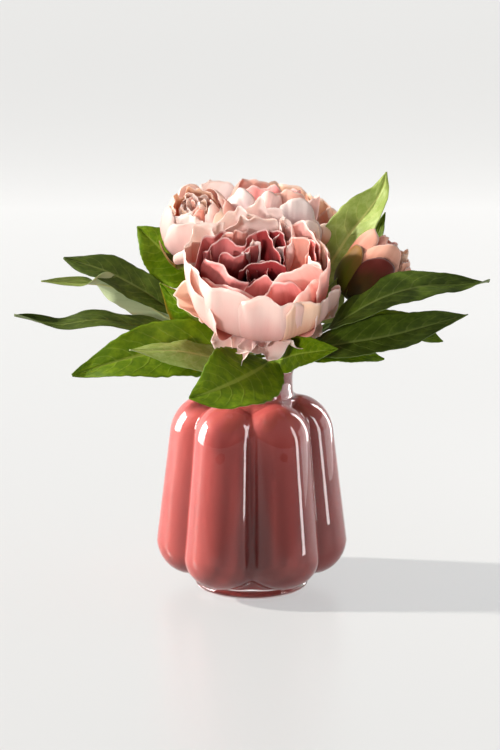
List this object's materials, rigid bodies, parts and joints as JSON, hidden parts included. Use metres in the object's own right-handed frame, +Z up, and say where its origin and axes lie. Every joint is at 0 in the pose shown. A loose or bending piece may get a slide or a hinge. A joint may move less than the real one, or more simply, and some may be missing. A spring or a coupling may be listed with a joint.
{
  "type": "artificial peony arrangement in a bud vase",
  "caption": "Silk peonies with long leaves standing in a lobed, opaque pink glass bud vase with a round foot and a short open neck.",
  "frame": {"origin": "centre of the vase's foot, on the surface it stands on", "axes": "+Z up along the vase's axis, -Y the way the main bloom faces, +X to its right"},
  "size_m": [0.3647, 0.23, 0.3234],
  "materials": {
    "vase_glass": "polished, opaque pink cased in clear",
    "stem_plastic": "matte",
    "leaf_fabric": "matte woven",
    "leaf_underside_fabric": "matte woven",
    "dark_leaf_fabric": "matte woven",
    "cream_petal_fabric": "matte woven",
    "pink_petal_fabric": "matte woven",
    "rose_petal_fabric": "matte woven",
    "olive_sepal_fabric": "matte woven",
    "maroon_sepal_fabric": "matte woven"
  },
  "bodies": {
    "root": {"vase": "vase_glass", "main_bloom_stem": "stem_plastic", "back_bloom_stem": "stem_plastic", "left_bloom_stem": "stem_plastic", "right_bud_stem": "stem_plastic", "left_long_leaf": "leaf_fabric", "left_broad_leaf": "leaf_fabric", "left_pale_leaf": "leaf_underside_fabric", "drooping_leaf": "leaf_fabric", "left_dark_leaf": "dark_leaf_fabric", "left_narrow_leaf": "leaf_underside_fabric", "left_small_leaf": "leaf_fabric", "left_bright_leaf": "leaf_fabric", "right_tall_leaf": "leaf_underside_fabric", "right_rear_leaf": "dark_leaf_fabric", "right_long_leaf": "dark_leaf_fabric", "right_dark_leaf": "dark_leaf_fabric", "right_lower_leaf": "leaf_fabric", "right_short_leaf": "leaf_fabric", "front_right_leaf": "leaf_underside_fabric", "right_inner_leaf": "dark_leaf_fabric", "back_left_leaf": "leaf_fabric", "back_right_leaf": "leaf_fabric", "main_bloom_skirt_petal_1": "cream_petal_fabric", "main_bloom_skirt_petal_2": "cream_petal_fabric", "main_bloom_skirt_petal_3": "cream_petal_fabric", "main_bloom_skirt_petal_4": "cream_petal_fabric", "main_bloom_skirt_petal_5": "cream_petal_fabric", "main_bloom_cup_petal_1": "cream_petal_fabric", "main_bloom_cup_petal_2": "cream_petal_fabric", "main_bloom_cup_petal_3": "cream_petal_fabric", "main_bloom_cup_petal_4": "cream_petal_fabric", "main_bloom_cup_petal_5": "cream_petal_fabric", "main_bloom_inner_petal_1": "rose_petal_fabric", "main_bloom_inner_petal_2": "rose_petal_fabric", "main_bloom_inner_petal_3": "rose_petal_fabric", "main_bloom_inner_petal_4": "rose_petal_fabric", "main_bloom_inner_petal_5": "rose_petal_fabric", "back_bloom_outer_petal_1": "pink_petal_fabric", "back_bloom_outer_petal_2": "pink_petal_fabric", "back_bloom_outer_petal_3": "pink_petal_fabric", "back_bloom_outer_petal_4": "pink_petal_fabric", "back_bloom_outer_petal_5": "pink_petal_fabric", "back_bloom_inner_petal_1": "rose_petal_fabric", "back_bloom_inner_petal_2": "rose_petal_fabric", "back_bloom_inner_petal_3": "rose_petal_fabric", "left_bloom_petal_1": "cream_petal_fabric", "left_bloom_petal_2": "cream_petal_fabric", "left_bloom_petal_3": "cream_petal_fabric", "left_bloom_petal_4": "cream_petal_fabric", "left_bloom_centre_petal_1": "rose_petal_fabric", "left_bloom_centre_petal_2": "rose_petal_fabric", "left_bloom_sepal_1": "olive_sepal_fabric", "left_bloom_sepal_2": "olive_sepal_fabric", "right_bud_petal_1": "pink_petal_fabric", "right_bud_petal_2": "pink_petal_fabric", "right_bud_petal_3": "pink_petal_fabric", "right_bud_sepal_1": "maroon_sepal_fabric", "right_bud_sepal_2": "maroon_sepal_fabric", "right_bud_sepal_3": "maroon_sepal_fabric"}
  },
  "joints": []
}
